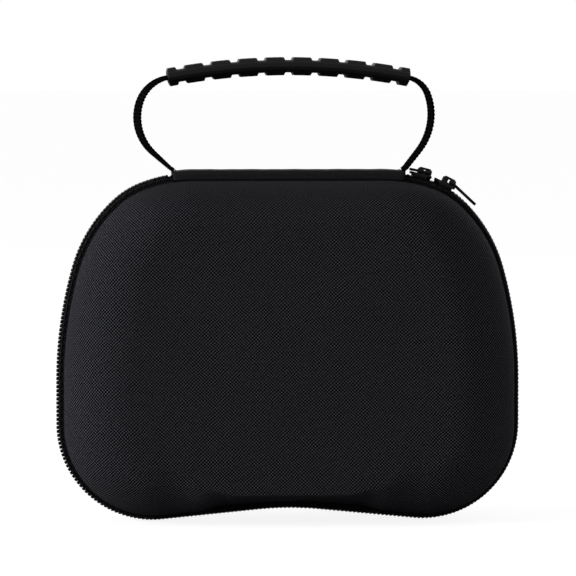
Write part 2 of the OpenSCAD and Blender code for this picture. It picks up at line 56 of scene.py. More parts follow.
# The two shells. Each is one moulding: EVA foam with woven polyester oxford on the outside and
# brushed tricot on the inside, pressed hot in a mould and trimmed at the lip, where it is sewn
# to the zip. The rim is one chain of arcs, and every ring of a shell is that chain set inward.
MM = 0.001
CASE_W, CASE_H = 180.0, 135.0
LOBE_R, ARCH_R, UNDER_SLOPE = 37.5, 120.0, math.radians(5.5)
SHOULDER = [(58.0, 90, 69), (33.0, 69, 47), (57.0, 47, 16), (159.0, 16, 0)]
SHELL_DEPTH, SHELL_T, WALL_DEPTH = 36.0, 3.6, 12.0
ROUND_SIDE, ROUND_TOP, ROUND_LOBE, ROUND_RECESS = 26.0, 17.0, 21.0, 2.4
RECESS_TOP, RECESS_HALF, RECESS_FADE = 13.0, 25.0, 11.0
LOBE_BLEND = 26.0
LIP_W, LIP_Y, LIP_T, LIP_DROP = 3.1, 4.5, 2.8, 1.0
STRIP_HALF = 45.0


def arc(centre, radius, start, end):
    """A stretch of the rim: its length, and its point and normal angle at a distance along it."""
    turn = math.radians(end - start)

    def at(s, d):
        angle = math.radians(start) + turn * s / abs(radius * turn)
        flip = -1 if turn > 0 and radius == ARCH_R else 1
        reach = radius + d * flip
        return (centre[0] + reach * math.cos(angle), centre[1] + reach * math.sin(angle),
                angle + (math.pi if flip < 0 else 0))
    return abs(radius * turn), at


def straight(start, end, normal):
    """A straight stretch of the rim, with the angle of its outward normal."""
    length = math.hypot(end[0] - start[0], end[1] - start[1])

    def at(s, d):
        t = s / length
        return (start[0] + (end[0] - start[0]) * t + d * math.cos(normal),
                start[1] + (end[1] - start[1]) * t + d * math.sin(normal), normal)
    return length, at


def rim_stretches():
    """The right half of the rim, from the middle of the top to the middle of the underside."""
    half_w = CASE_W / 2
    across = sum(r * (math.cos(math.radians(b)) - math.cos(math.radians(a))) for r, a, b in SHOULDER)
    x, z = half_w - across, CASE_H
    parts = [straight((0, z), (x, z), math.pi / 2)]
    for radius, a, b in SHOULDER:
        ca, sa = math.cos(math.radians(a)), math.sin(math.radians(a))
        centre = (x - radius * ca, z - radius * sa)
        parts.append(arc(centre, radius, a, b))
        x, z = parts[-1][1](parts[-1][0], 0)[:2]
    parts.append(straight((x, z), (x, LOBE_R), 0))
    lobe = (half_w - LOBE_R, LOBE_R)
    slope = math.degrees(UNDER_SLOPE)
    parts.append(arc(lobe, LOBE_R, 0, -90 - slope))
    x, z = parts[-1][1](parts[-1][0], 0)[:2]
    end_x = ARCH_R * math.sin(UNDER_SLOPE)
    end_z = z + (x - end_x) * math.tan(UNDER_SLOPE)
    parts.append(straight((x, z), (end_x, end_z), math.radians(-90 - slope)))
    arch = (0, end_z - ARCH_R * math.cos(UNDER_SLOPE))
    parts.append(arc(arch, ARCH_R, 90 - slope, 90))
    return parts


STRETCHES = rim_stretches()
RIM_HALF = sum(p[0] for p in STRETCHES)
RIM_LEN = 2 * RIM_HALF


def rim(s, d=0.0):
    """Point of the rim at distance s clockwise from the middle of the top, set out by d."""
    s %= RIM_LEN
    if s > RIM_HALF:
        x, z, angle = rim(RIM_LEN - s, d)
        return -x, z, math.pi - angle
    for length, at in STRETCHES:
        if s <= length:
            return at(s, d)
        s -= length
    return STRETCHES[-1][1](STRETCHES[-1][0], d)


def distance_to(x):
    """Distance along the rim of the point on the first shoulder arc at x."""
    top = STRETCHES[0][0]
    return top + SHOULDER[0][0] * math.asin((x - top) / SHOULDER[0][0])


STRIP_END = distance_to(STRIP_HALF)


def smooth_step(t):
    t = max(0.0, min(1.0, t))
    return t * t * (3 - 2 * t)


def recess(s):
    """How much of the finger recess there is at distance s: 1 in the middle of the underside."""
    x, z, _ = rim(s)
    if z > LOBE_R / 2:
        return 0.0
    return smooth_step((RECESS_HALF + RECESS_FADE - abs(x)) / RECESS_FADE)


def rounding(s):
    """Width of the shell's rounding at distance s, as seen from the front."""
    v = math.sin(rim(s)[2])
    plain = ROUND_SIDE + ((ROUND_TOP if v > 0 else ROUND_LOBE) - ROUND_SIDE) * v * v
    x, z, _ = rim(s)
    flat = smooth_step((RECESS_HALF - 4 + LOBE_BLEND - abs(x)) / LOBE_BLEND) if z < LOBE_R / 2 else 0.0
    return plain + (ROUND_RECESS - plain) * flat


def rise(s):
    """How far the shell draws in over the recess, which keeps the face's lower edge level."""
    cut = recess(s)
    return cut * max(0.0, RECESS_TOP - rim(s)[1] - LIP_W - ROUND_RECESS) if cut else 0.0


def skin(s, a, inward):
    """Inset and depth of the outer skin, or of the inner one when inward is the thickness."""
    inset = LIP_W + inward + (rounding(s) - inward / 2) * (1 - math.cos(a))
    inset += rise(s) * (0.25 + 0.75 * math.sin(a))
    return inset, WALL_DEPTH + (SHELL_DEPTH - inward - WALL_DEPTH) * math.sin(a)


def shell_section(s, front):
    """Rings of a shell from the flat face, over the lip and in to the flat floor."""
    under_strip = min(s, RIM_LEN - s) < STRIP_END
    cut = front and under_strip
    near, far, edge = (9.0, 9.5, LIP_W - 0.1) if cut else (LIP_Y, LIP_Y + LIP_T, LIP_DROP)
    if under_strip and not front:
        edge = 0.0
    foot = LIP_W + rise(s) * 0.25
    soft, turn_in = (0.03, 0.0) if cut else (0.45, 0.4)
    rows = [skin(s, math.radians(a), 0) for a in
            (90, 87, 84, 80, 76, 72, 68, 64, 60, 56, 52, 48, 44, 40, 36, 32, 28, 24, 20, 16, 12, 8, 4, 0)]
    rows += [(foot, far + 2 * soft), (foot - turn_in / 4, far + 0.6 * soft), (foot - turn_in, far)]
    rows += [(edge + soft, far), (edge + 0.3 * soft, far - 0.2 * soft), (edge, far - soft)]
    rows += [(edge, near + soft), (edge + 0.3 * soft, near + 0.2 * soft), (edge + soft, near)]
    rows += [(foot + SHELL_T - 0.4, near), (foot + SHELL_T, near + 0.4)]
    rows += [skin(s, math.radians(a), SHELL_T) for a in (0, 8, 16, 24, 33, 42, 51, 60, 68, 76, 83, 90)]
    return rows


LIP_ROWS = (25, 35)
OUTER_ROWS = 36
FACE_RINGS = 16
FACE_CROWN = 0.7


def new_object(name, verts, faces, smooth=True):
    """A mesh object in metres from points in millimetres."""
    mesh = bpy.data.meshes.new(name)
    mesh.from_pydata([(x * MM, y * MM, z * MM) for x, y, z in verts], [], faces)
    mesh.validate()
    mesh.polygons.foreach_set("use_smooth", [smooth] * len(mesh.polygons))
    mesh.update()
    obj = bpy.data.objects.new(name, mesh)
    bpy.context.scene.collection.objects.link(obj)
    return obj


def lay_cloth(obj, places):
    """Keeps, for each point, its place on the flat cloth in millimetres."""
    layer = obj.data.attributes.new("cloth", "FLOAT_VECTOR", "POINT")
    layer.data.foreach_set("vector", [c for p in places for c in (p[0], p[1], 0.0)])


def build_shell(name, front):
    """One shell as rings round the rim, closed by a slightly crowned face and a flat floor."""
    count = 420
    side = -1 if front else 1
    stops = [i * RIM_LEN / count for i in range(count)]
    sections = [shell_section(s, front) for s in stops]
    rows = len(sections[0])
    verts, cloth = [], []
    for k in range(rows):
        for s, rings in zip(stops, sections):
            inset, depth = rings[k]
            x, z, angle = rim(s, -inset)
            verts.append((x, side * depth, z))
            run = sum(math.hypot(rings[j + 1][0] - rings[j][0], rings[j + 1][1] - rings[j][1])
                      for j in range(k))
            cap_x, cap_z, _ = rim(s, -rings[0][0])
            cloth.append((cap_x + run * math.cos(angle), cap_z + run * math.sin(angle)))
    faces = []
    for k in range(rows - 1):
        for i in range(count):
            j = (i + 1) % count
            faces.append((k * count + i, k * count + j, (k + 1) * count + j, (k + 1) * count + i))
    middle = (0.0, (CASE_H + 4.5) / 2)
    for base, depth, crown, turned in ((0, SHELL_DEPTH, FACE_CROWN, True),
                                       ((rows - 1) * count, SHELL_DEPTH - SHELL_T, 0.0, False)):
        ring = list(range(base, base + count))
        for k in range(1, FACE_RINGS):
            t = 1 - k / FACE_RINGS
            new = []
            for i in range(count):
                x, _, z = verts[base + i]
                px, pz = middle[0] + (x - middle[0]) * t, middle[1] + (z - middle[1]) * t
                lift = crown * (1 - t * t) ** 2 if crown else 0
                new.append(len(verts))
                verts.append((px, side * (depth + lift), pz))
                cloth.append((px, pz))
            for i in range(count):
                j = (i + 1) % count
                quad = (ring[j], ring[i], new[i], new[j])
                faces.append(quad if turned else quad[::-1])
            ring = new
        verts.append((middle[0], side * (depth + crown), middle[1]))
        cloth.append(middle)
        hub = len(verts) - 1
        for i in range(count):
            j = (i + 1) % count
            faces.append((ring[j], ring[i], hub) if turned else (hub, ring[i], ring[j]))
    if not front:
        faces = [f[::-1] for f in faces]
    obj = new_object(name, verts, faces)
    lay_cloth(obj, cloth)
    inner_start = OUTER_ROWS * count
    floor_start = rows * count + (FACE_RINGS - 1) * count + 1
    for poly in obj.data.polygons:
        low = min(poly.vertices)
        on_floor = low >= floor_start
        on_wall = inner_start - count <= low < rows * count and max(poly.vertices) >= inner_start
        # Material 2 on the lip rows is the darker copy of the oxford, which is painted shade.
        on_lip = LIP_ROWS[0] * count <= low < LIP_ROWS[1] * count
        poly.material_index = 1 if on_floor or on_wall else 2 if on_lip else 0
    return obj


def linear(hex_colour, strength=1.0):
    """An sRGB hex colour as Blender's linear colour."""
    parts = [int(hex_colour[i:i + 2], 16) / 255 for i in (1, 3, 5)]
    lin = [c / 12.92 if c <= 0.04045 else ((c + 0.055) / 1.055) ** 2.4 for c in parts]
    return [c * strength for c in lin] + [1.0]


def add(tree, kind, inputs=None, **settings):
    """Adds a node with its settings, and sets or links its inputs by name or number."""
    node = tree.nodes.new(kind)
    for key, value in settings.items():
        setattr(node, key, value)
    for key, value in (inputs or {}).items():
        if isinstance(value, bpy.types.NodeSocket):
            tree.links.new(value, node.inputs[key])
        else:
            node.inputs[key].default_value = value
    return node


def new_material(name, **shader):
    """A material with one Principled shader, whose plain values are set on its own sockets."""
    mat = bpy.data.materials.new(name)
    mat.use_nodes = True
    tree = mat.node_tree
    bsdf = tree.nodes["Principled BSDF"]
    for key, value in shader.items():
        bsdf.inputs[key.replace("_", " ")].default_value = value
    return mat, tree, bsdf


def math_node(tree, operation, a, b=0.0):
    return add(tree, "ShaderNodeMath", {0: a, 1: b}, operation=operation).outputs[0]


# Woven polyester oxford in a steep twill: black yarn, matt, with a faint sheen at the edges.
# The real diagonals are 0.78 mm apart; they are drawn at 0.92 mm, so that a small picture shows them.
TWILL_MM = 0.92
YARN_MM = 0.92


def oxford(name, light):
    mat, tree, bsdf = new_material(name, Roughness=0.8, Specular_IOR_Level=0.015)
    place = add(tree, "ShaderNodeAttribute", attribute_name="cloth").outputs["Vector"]
    wander = add(tree, "ShaderNodeTexNoise", {"Vector": place, "Scale": 0.16, "Detail": 2.0})
    moved = add(tree, "ShaderNodeVectorMath", {0: place, 1: add(
        tree, "ShaderNodeVectorMath", {0: wander.outputs["Color"], 1: (0.9, 0.9, 0.0)},
        operation="MULTIPLY").outputs[0]}, operation="ADD").outputs[0]
    parts = add(tree, "ShaderNodeSeparateXYZ", {0: moved})
    u, v = parts.outputs[0], parts.outputs[1]
    over = math_node(tree, "SUBTRACT", u, v)
    along = math_node(tree, "ADD", u, v)
    twill = add(tree, "ShaderNodeMath", {0: math_node(tree, "SINE", math_node(
        tree, "MULTIPLY", over, 2 * math.pi / (TWILL_MM * math.sqrt(2)))), 1: 0.5, 2: 0.5},
        operation="MULTIPLY_ADD").outputs[0]
    yarn = add(tree, "ShaderNodeMath", {0: math_node(tree, "SINE", math_node(
        tree, "MULTIPLY", along, 2 * math.pi / (YARN_MM * math.sqrt(2)))), 1: 0.5, 2: 0.5},
        operation="MULTIPLY_ADD").outputs[0]
    height = add(tree, "ShaderNodeMath", {0: yarn, 1: 0.48, 2: math_node(
        tree, "MULTIPLY", twill, 0.52)}, operation="MULTIPLY_ADD").outputs[0]
    fleck = add(tree, "ShaderNodeTexNoise", {"Vector": place, "Scale": 0.9, "Detail": 3.0})
    tone = add(tree, "ShaderNodeMath", {0: fleck.outputs[0], 1: 0.35, 2: height},
               operation="MULTIPLY_ADD").outputs[0]
    ramp = add(tree, "ShaderNodeValToRGB", {0: tone})
    ramp.color_ramp.elements[0].position = 0.58
    ramp.color_ramp.elements[0].color = linear("#010101")
    ramp.color_ramp.elements[1].position = 1.0
    ramp.color_ramp.elements[1].color = linear(light)
    tree.links.new(ramp.outputs[0], bsdf.inputs["Base Color"])
    bump = add(tree, "ShaderNodeBump", {"Height": height, "Strength": 0.9, "Distance": 0.00028})
    tree.links.new(bump.outputs[0], bsdf.inputs["Normal"])
    return mat


# Brushed tricot lining: a soft short nap, charcoal, with no line in it and a wide sheen.
NAP_MM = 0.8


def tricot():
    mat, tree, bsdf = new_material("charcoal_brushed_tricot", Roughness=0.95, Sheen_Weight=0.15,
                                   Sheen_Roughness=0.6, Specular_IOR_Level=0.1)
    place = add(tree, "ShaderNodeAttribute", attribute_name="cloth").outputs["Vector"]
    nap = add(tree, "ShaderNodeTexNoise", {"Vector": place, "Scale": 1 / NAP_MM, "Detail": 4.0})
    ramp = add(tree, "ShaderNodeValToRGB", {0: nap.outputs[0]})
    ramp.color_ramp.elements[0].color = linear("#161618")
    ramp.color_ramp.elements[1].color = linear("#2f2f33")
    tree.links.new(ramp.outputs[0], bsdf.inputs["Base Color"])
    bump = add(tree, "ShaderNodeBump", {"Height": nap.outputs[0], "Strength": 0.6,
                                        "Distance": 0.0004})
    tree.links.new(bump.outputs[0], bsdf.inputs["Normal"])
    return mat


# The lip's cloth is the same oxford, drawn in a darker copy: painted shade for the shadow under the
# shell's overhang.
OXFORD, OXFORD_PAINTED_SHADE = oxford("black_oxford_polyester", "#4a4a50"), oxford("black_oxford_painted_shade", "#2a2a2e")
TRICOT = tricot()
for shell_name, node, body, front in (("front_shell_cloth", "front_shell", "lid", True),
                                      ("back_shell_cloth", "back_shell", "base", False)):
    shell = build_shell(shell_name, front)
    shell.data.materials.append(OXFORD)
    shell.data.materials.append(TRICOT)
    shell.data.materials.append(OXFORD_PAINTED_SHADE)
    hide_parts(node)
    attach(shell, body)

# Zip tape: narrow woven polyester tape on each side, sewn flat to the lip and turned up towards
# the teeth. Fine ribs run across it, and it is matt black.
TAPE_T, TAPE_DROP = 0.6, 1.2
SLIDER_STOP = STRIP_END + 16.2 + SHOULDER[1][0] * math.radians(10) + 5.6
ZIP_START = STRIP_END + 0.3


def sweep(name, section, stops, cloth_scale=1.0, closed=True):
    """A section of (depth, inset) points swept along the rim, with its ends closed."""
    count = len(section)
    verts, cloth, girth = [], [], [0.0]
    for i in range(1, count):
        girth.append(girth[-1] + math.dist(section[i - 1], section[i]))
    for s in stops:
        for i, (y, inset) in enumerate(section):
            x, z, _ = rim(s, -inset)
            verts.append((x, y, z))
            cloth.append((s * cloth_scale, girth[i]))
    faces = []
    for k in range(len(stops) - 1):
        for i in range(count if closed else count - 1):
            j = (i + 1) % count
            faces.append((k * count + i, k * count + j, (k + 1) * count + j, (k + 1) * count + i))
    if closed:
        faces.append(tuple(range(count))[::-1])
        faces.append(tuple((len(stops) - 1) * count + i for i in range(count)))
    obj = new_object(name, verts, faces)
    lay_cloth(obj, cloth)
    tidy_normals(obj)
    return obj


def tidy_normals(obj):
    """Turns every face outward."""
    shape = bmesh.new()
    shape.from_mesh(obj.data)
    bmesh.ops.recalc_face_normals(shape, faces=shape.faces)
    shape.to_mesh(obj.data)
    shape.free()


def stops_between(start, end, step):
    count = max(1, round((end - start) / step))
    return [start + (end - start) * i / count for i in range(count + 1)]


def ribbed_cloth(name, dark, light, rib_mm, cross_mm, bump_mm, rough=0.85, gloss=0.06):
    """Woven tape: ribs across its length at rib_mm, and a finer weave at cross_mm."""
    mat, tree, bsdf = new_material(name, Roughness=rough, Specular_IOR_Level=gloss)
    place = add(tree, "ShaderNodeAttribute", attribute_name="cloth").outputs["Vector"]
    parts = add(tree, "ShaderNodeSeparateXYZ", {0: place})
    waves = []
    for value, spacing in ((parts.outputs[0], rib_mm), (parts.outputs[1], cross_mm)):
        waves.append(math_node(tree, "SINE", math_node(
            tree, "MULTIPLY", value, 2 * math.pi / spacing)))
    weave = add(tree, "ShaderNodeMath", {0: math_node(tree, "MULTIPLY", *waves), 1: 0.25,
                                         2: math_node(tree, "MULTIPLY", waves[0], 0.25)},
                operation="MULTIPLY_ADD").outputs[0]
    height = math_node(tree, "ADD", weave, 0.5)
    ramp = add(tree, "ShaderNodeValToRGB", {0: height})
    ramp.color_ramp.elements[0].color = linear(dark)
    ramp.color_ramp.elements[1].color = linear(light)
    tree.links.new(ramp.outputs[0], bsdf.inputs["Base Color"])
    bump = add(tree, "ShaderNodeBump", {"Height": height, "Strength": 0.7,
                                        "Distance": bump_mm * MM})
    tree.links.new(bump.outputs[0], bsdf.inputs["Normal"])
    return mat


TAPE_CLOTH = ribbed_cloth("black_zip_tape", "#060607", "#1a1a1d", 0.9, 0.9, 0.15)


def tape_section(side):
    """The tape from the teeth out to the lip, and down the lip's face into the case."""
    low = TAPE_DROP + TAPE_T
    points = [(2.05, TAPE_DROP), (3.4, TAPE_DROP - 0.05), (4.1, TAPE_DROP), (4.38, TAPE_DROP + 0.35),
              (4.38, 6.6), (3.78, 6.6), (3.78, low + 0.3), (3.5, low), (2.05, low)]
    return [(side * y, inset) for y, inset in points]


for tape_name, nodes, body, side, start in (
        ("back_tape", ["back_zip_tape"], "base", 1, ZIP_START),
        ("front_tape", ["front_zip_tape"], "lid", -1, SLIDER_STOP)):
    tape = sweep(tape_name, tape_section(side), stops_between(start, RIM_LEN - ZIP_START, 2.2))
    tape.data.materials.append(TAPE_CLOTH)
    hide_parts(*nodes)
    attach(tape, body)
# Under the coils each tape runs on to the middle, and the back one's edge lies below the front's.
for hem_name, body, inner, outer, top, low in (("back_tape_edge", "base", -0.4, 2.4, 2.3, 2.5),
                                               ("front_tape_edge", "lid", 0.1, -2.4, 1.97, 2.2)):
    hem_section = [(inner, top), (outer, top), (outer, low), (inner, low)]
    tape_hem = sweep(hem_name, hem_section, stops_between(SLIDER_STOP, RIM_LEN - ZIP_START, 2.2))
    tape_hem.data.materials.append(TAPE_CLOTH)
    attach(tape_hem, body)
end_section = [(-2.05, TAPE_DROP), (-3.75, TAPE_DROP), (-3.75, TAPE_DROP + TAPE_T),
               (-2.05, TAPE_DROP + TAPE_T)]
tape_end = sweep("front_tape_end", end_section, stops_between(ZIP_START, SLIDER_STOP - 0.3, 1.5))
tape_end.data.materials.append(TAPE_CLOTH)
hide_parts("zip_tape_end")
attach(tape_end, "base")

# Zip teeth: one nylon monofilament wound into a flat coil for each side and sewn to its tape.
# The turns cross the middle on a slant. Extruded nylon has a soft gloss.
TURN_PITCH = 1.585
WIRE_R = 0.39
TURN_LEAN = 0.42
TURN_PATH = [(2.4, 1.0), (1.9, 0.55), (1.2, 0.39), (0.5, 0.39), (0.05, 0.5), (-0.2, 0.8),
             (-0.2, 1.1), (0.05, 1.45), (0.6, 1.55), (1.5, 1.5), (2.4, 1.3)]


def coil(name, side, start, end, shift):
    """Turns of wire along the rim, each one a bent tube across the tape's edge."""
    verts, faces = [], []
    sides = 6
    turns = int((end - start) / TURN_PITCH)
    for n in range(turns):
        s = start + (n + shift) * TURN_PITCH
        first = len(verts)
        for k, (y, inset) in enumerate(TURN_PATH):
            before = TURN_PATH[max(k - 1, 0)]
            after = TURN_PATH[min(k + 1, len(TURN_PATH) - 1)]
            dy, dr = after[0] - before[0], after[1] - before[1]
            size = math.hypot(dy, dr)
            back_turn = TURN_PITCH * max(0.0, k - 5) / (len(TURN_PATH) - 6)
            lean = (back_turn if k > 5 else 0.0) - side * y * TURN_LEAN / 2.4
            for j in range(sides):
                turn = 2 * math.pi * j / sides
                out = WIRE_R * math.cos(turn)
                x, z, _ = rim(s + lean + WIRE_R * math.sin(turn), -(inset + out * dy / size))
                verts.append((x, side * (y - out * dr / size), z))
            if k:
                for j in range(sides):
                    m = (j + 1) % sides
                    a = first + (k - 1) * sides
                    faces.append((a + j, a + m, a + sides + m, a + sides + j))
        faces.append(tuple(first + j for j in range(sides))[::-1])
        faces.append(tuple(len(verts) - sides + j for j in range(sides)))
    obj = new_object(name, verts, faces)
    tidy_normals(obj)
    return obj


def nylon():
    mat, tree, bsdf = new_material("black_nylon_coil", Roughness=0.32, IOR=1.53,
                                   Specular_IOR_Level=0.14, Base_Color=linear("#050506"))
    place = add(tree, "ShaderNodeTexCoord").outputs["Object"]
    scuff = add(tree, "ShaderNodeTexNoise", {"Vector": place, "Scale": 900.0, "Detail": 2.0})
    rough = add(tree, "ShaderNodeMapRange", {0: scuff.outputs[0], 3: 0.24, 4: 0.42})
    tree.links.new(rough.outputs[0], bsdf.inputs["Roughness"])
    return mat


NYLON = nylon()
for coil_name, node, body, side, start, end, shift in (
        ("back_coil", "back_zip_teeth", "base", 1, ZIP_START, RIM_LEN - ZIP_START, 0.0),
        ("front_coil", "front_zip_teeth", "lid", -1, SLIDER_STOP, RIM_LEN - ZIP_START, 0.0),
        ("front_coil_end", "zip_teeth_end", "base", -1, ZIP_START, SLIDER_STOP - 0.3, 0.0)):
    row = coil(coil_name, side, start, end, shift)
    row.data.materials.append(NYLON)
    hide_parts(node)
    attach(row, body)

# Seam along the lip: bonded polyester thread in a lockstitch of 3 mm, which holds the tape to
# the shell. Each stitch lies in its own small dent and shows as a short raised bar.
STITCH_MM = 3.0
THREAD_R = 0.22


def stitches(name, places):
    """Short rounded bars, each from a middle point, a direction and a length in millimetres."""
    verts, faces = [], []
    for centre, along, out, length in places:
        c, t, n = Vector(centre), Vector(along).normalized(), Vector(out).normalized()
        b = t.cross(n)
        first = len(verts)
        for k, (at, size, lift) in enumerate(((-0.5, 0.35, -0.25), (-0.36, 0.9, 0.0), (0.0, 1.0, 0.08),
                                              (0.36, 0.9, 0.0), (0.5, 0.35, -0.25))):
            for j in range(6):
                a = 2 * math.pi * j / 6
                p = c + t * (at * length) + n * (lift * 0.6 + THREAD_R * size * math.cos(a)) \
                    + b * (THREAD_R * size * math.sin(a))
                verts.append(tuple(p))
            if k:
                for j in range(6):
                    m = (j + 1) % 6
                    a = first + (k - 1) * 6
                    faces.append((a + j, a + m, a + 6 + m, a + 6 + j))
        faces.append(tuple(first + j for j in range(6)))
        faces.append(tuple(len(verts) - 1 - j for j in range(6)))
    obj = new_object(name, verts, faces)
    tidy_normals(obj)
    return obj


def rim_stitches(start, end, inset, y, out_y, length=STITCH_MM):
    places = []
    for s in stops_between(start, end, length)[:-1]:
        x, z, _ = rim(s + length / 2, -inset)
        x1, z1, _ = rim(s + length / 2 + 0.1, -inset)
        places.append(((x, y, z), (x1 - x, 0, z1 - z), (0, out_y, 0), length * 0.82))
    return places


def thread():
    mat, tree, bsdf = new_material("black_bonded_thread", Roughness=0.55, Sheen_Weight=0.03,
                                   Specular_IOR_Level=0.15)
    place = add(tree, "ShaderNodeTexCoord").outputs["Object"]
    twist = add(tree, "ShaderNodeTexWave", {"Vector": place, "Scale": 900.0, "Distortion": 1.0},
                bands_direction="DIAGONAL")
    ramp = add(tree, "ShaderNodeValToRGB", {0: twist.outputs[0]})
    ramp.color_ramp.elements[0].color = linear("#050506")
    ramp.color_ramp.elements[1].color = linear("#0e0e10")
    tree.links.new(ramp.outputs[0], bsdf.inputs["Base Color"])
    return mat


THREAD = thread()
LIP_FACE = LIP_Y + LIP_T
for seam_name, body, side, start in (("back_lip_seam", "base", 1, ZIP_START + 1),
                                     ("front_lip_seam", "lid", -1, ZIP_START + 1)):
    seam = stitches(seam_name, rim_stitches(start, RIM_LEN - start, 1.5,
                                            side * (LIP_FACE + 0.02), side))
    seam.data.materials.append(THREAD)
    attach(seam, body)

# Binding: ribbed grosgrain tape folded over the raw inner edge of each shell and sewn down.
BINDING_T = 0.7
INNER_EDGE = LIP_W + SHELL_T
GROSGRAIN = ribbed_cloth("black_grosgrain_binding", "#08080a", "#222226", 1.1, 0.7, 0.25)


def build_binding(name, side, start):
    """A ring of tape on the shell's inner wall, lifted clear of the recess."""
    verts, cloth, faces = [], [], []
    stops = stops_between(start, RIM_LEN - start, 2.5)
    shape = [(LIP_Y - 0.15, 0.1), (LIP_Y - 0.35, -0.4), (LIP_Y - 0.1, -0.75), (LIP_Y + 3, -0.8),
             (LIP_Y + 7.1, -0.75), (LIP_Y + 7.5, -0.45), (LIP_Y + 7.5, 0.02), (LIP_Y + 4, 0.02)]
    for s in stops:
        edge = INNER_EDGE + rise(s) * 0.25
        for i, (y, lift) in enumerate(shape):
            x, z, _ = rim(s, -(edge - lift))
            verts.append((x, side * y, z))
            cloth.append((s, i * 1.2))
    count = len(shape)
    for k in range(len(stops) - 1):
        for i in range(count):
            j = (i + 1) % count
            faces.append((k * count + i, k * count + j, (k + 1) * count + j, (k + 1) * count + i))
    faces.append(tuple(range(count)))
    faces.append(tuple((len(stops) - 1) * count + i for i in range(count))[::-1])
    obj = new_object(name, verts, faces)
    lay_cloth(obj, cloth)
    tidy_normals(obj)
    return obj


for binding_name, node, body, side, start in (
        ("back_binding", "back_rim_binding", "base", 1, 0.0),
        ("front_binding", "front_rim_binding", "lid", -1, STRIP_END + 1)):
    binding = build_binding(binding_name, side, start)
    binding.data.materials.append(GROSGRAIN)
    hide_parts(node)
    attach(binding, body)

# Hinge strip: a band of smooth tightly woven nylon folded over the two lips along the top and
# stitched down on both sides. It stays soft, so it carries a few shallow pulls and a crown.
STRIP_OUT, STRIP_Y = 1.0, 8.3


def strip_section(s):
    """The folded strip's section at distance s: rounded edges, and shallow pulls along it."""
    pull = 0.05 * math.sin(s * 0.55) * math.sin(s * 0.21 + 1.0)
    out = STRIP_OUT + pull
    outer = [(-STRIP_Y, 3.05), (-STRIP_Y - 0.02, 1.9), (-STRIP_Y, 0.9)]
    for i in range(7):
        a = i * math.pi / 12
        outer.append((-STRIP_Y + 1.9 * (1 - math.cos(a)), -out + 1.9 * (1 - math.sin(a))))
    outer += [(-5.0, -out - 0.06), (-2.5, -out - 0.12), (0.0, -out - 0.14)]
    outer += [(-y, inset) for y, inset in reversed(outer[:-1])]
    inner = [(7.45, 3.05), (7.42, 0.0), (6.9, -0.08), (0.0, -0.1), (-6.9, -0.08), (-7.42, 0.0),
             (-7.45, 3.05)]
    return outer + inner


def build_strip():
    stops = stops_between(-STRIP_END, STRIP_END, 1.2)
    verts, cloth, faces = [], [], []
    for s in stops:
        girth, last = 0.0, None
        for point in strip_section(s):
            girth += math.dist(last, point) if last else 0.0
            last = point
            x, z, _ = rim(s, -point[1])
            verts.append((x, point[0], z))
            cloth.append((s, girth))
    count = len(strip_section(0))
    for k in range(len(stops) - 1):
        for i in range(count):
            j = (i + 1) % count
            faces.append((k * count + i, k * count + j, (k + 1) * count + j, (k + 1) * count + i))
    obj = new_object("hinge_cloth", verts, faces)
    shape = bmesh.new()
    shape.from_mesh(obj.data)
    bmesh.ops.holes_fill(shape, edges=[e for e in shape.edges if e.is_boundary])
    bmesh.ops.recalc_face_normals(shape, faces=shape.faces)
    shape.to_mesh(obj.data)
    shape.free()
    lay_cloth(obj, cloth)
    return obj


strip = build_strip()
strip.data.materials.append(ribbed_cloth("black_strip_nylon", "#121213", "#242426", 0.55, 0.55,
                                         0.05, 0.6))
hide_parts("hinge_strip")
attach(strip, "base")

# The strip's seams and bar tacks, in the same thread as the lip.
strip_seams = []
for side in (-1, 1):
    strip_seams += rim_stitches(-STRIP_END + 1, STRIP_END - 1, 2.3, side * (STRIP_Y - 0.1), side, 2.6)
for end in (-1, 1):
    for i in range(9):
        x, z, _ = rim(end * (STRIP_END - 1.6), STRIP_OUT + 0.16)
        strip_seams.append(((x, -6.0 + i * 1.5, z), (0, 1, 0), (0, 0, 1), 1.5))
tacks = stitches("strip_seams", strip_seams)
tacks.data.materials.append(THREAD)
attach(tacks, "base")

# Handle webbing: one length of flat polypropylene webbing, 15 by 1.6 mm, sewn under the strip's
# ends and run through the grip. Plain woven in thick yarns, so its face is ribbed and its edges
# are notched.
WEB_W, WEB_T = 15.0, 1.6
GRIP_R, GRIP_LEN, GRIP_RISE = 250.0, 94.0, 41.0
LEG_LEAVE, LEG_BEND, LEG_MID = (42.0, 52.0), (14.0, 10.0), 110.0
WEB_PICK = 1.45
TWIST = (math.radians(7), math.radians(-2))
grip_z = CASE_H + GRIP_RISE
grip_half = GRIP_LEN / 2 / GRIP_R
grip_centre = grip_z - GRIP_R


def turn(a, b):
    a, b = math.radians(a), math.radians(b)
    return math.sin(b) - math.sin(a), math.cos(a) - math.cos(b)


